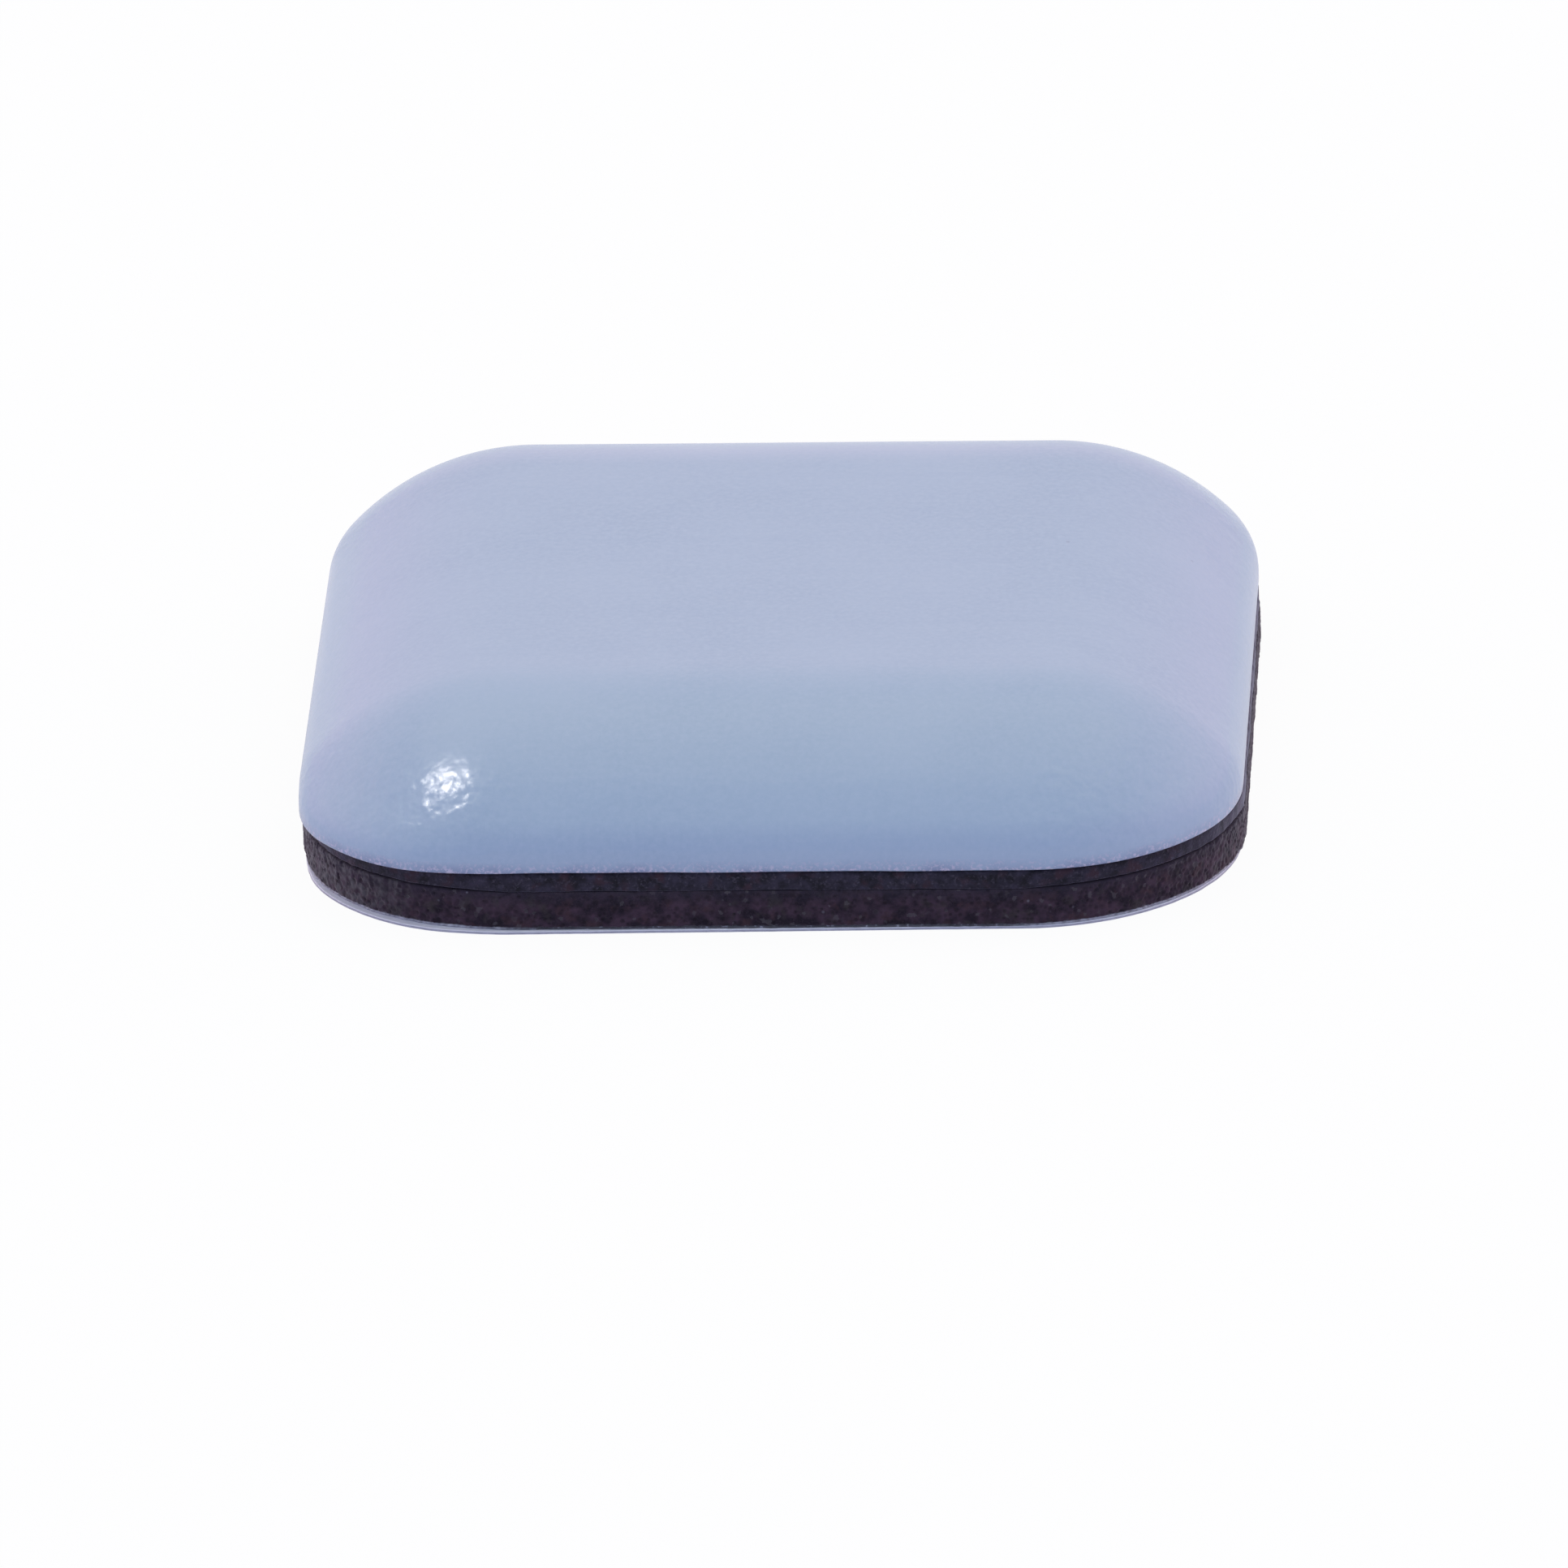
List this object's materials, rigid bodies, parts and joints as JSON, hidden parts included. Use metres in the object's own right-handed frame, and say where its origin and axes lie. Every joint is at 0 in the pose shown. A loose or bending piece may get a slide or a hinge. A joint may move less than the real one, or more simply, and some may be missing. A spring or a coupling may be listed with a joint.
{
  "type": "furniture slider",
  "caption": "Square self-adhesive furniture slider: a domed satin PTFE glide cap on a black rubber core and foam pad, with a peel-off liner over the mounting adhesive.",
  "frame": {"origin": "centre of the release liner's underside, on the surface that the slider stands on", "axes": "+Z out of the glide face, X and Y along the square's sides"},
  "size_m": [0.0252, 0.0252, 0.0053],
  "materials": {
    "cap_ptfe": "satin formed PTFE, fine grain",
    "cap_bond_glue": "cured contact adhesive",
    "core_rubber": "smooth moulded rubber",
    "pad_bond_glue": "dark adhesive film",
    "pad_foam": "die-cut sponge, open cells at the cut edge",
    "mount_glue": "clear pressure-sensitive adhesive",
    "liner_paper": "siliconised release paper"
  },
  "bodies": {
    "slider": {"ptfe_cap": "cap_ptfe", "cap_bond": "cap_bond_glue", "rubber_core": "core_rubber", "pad_bond": "pad_bond_glue", "foam_pad": "pad_foam", "mounting_adhesive": "mount_glue"},
    "liner": {"release_liner": "liner_paper"}
  },
  "joints": [
    {"name": "liner_peel", "type": "slide", "parent": "slider", "child": "liner", "axis": [0, -1, 0], "range_m": [0, 0.032]}
  ]
}
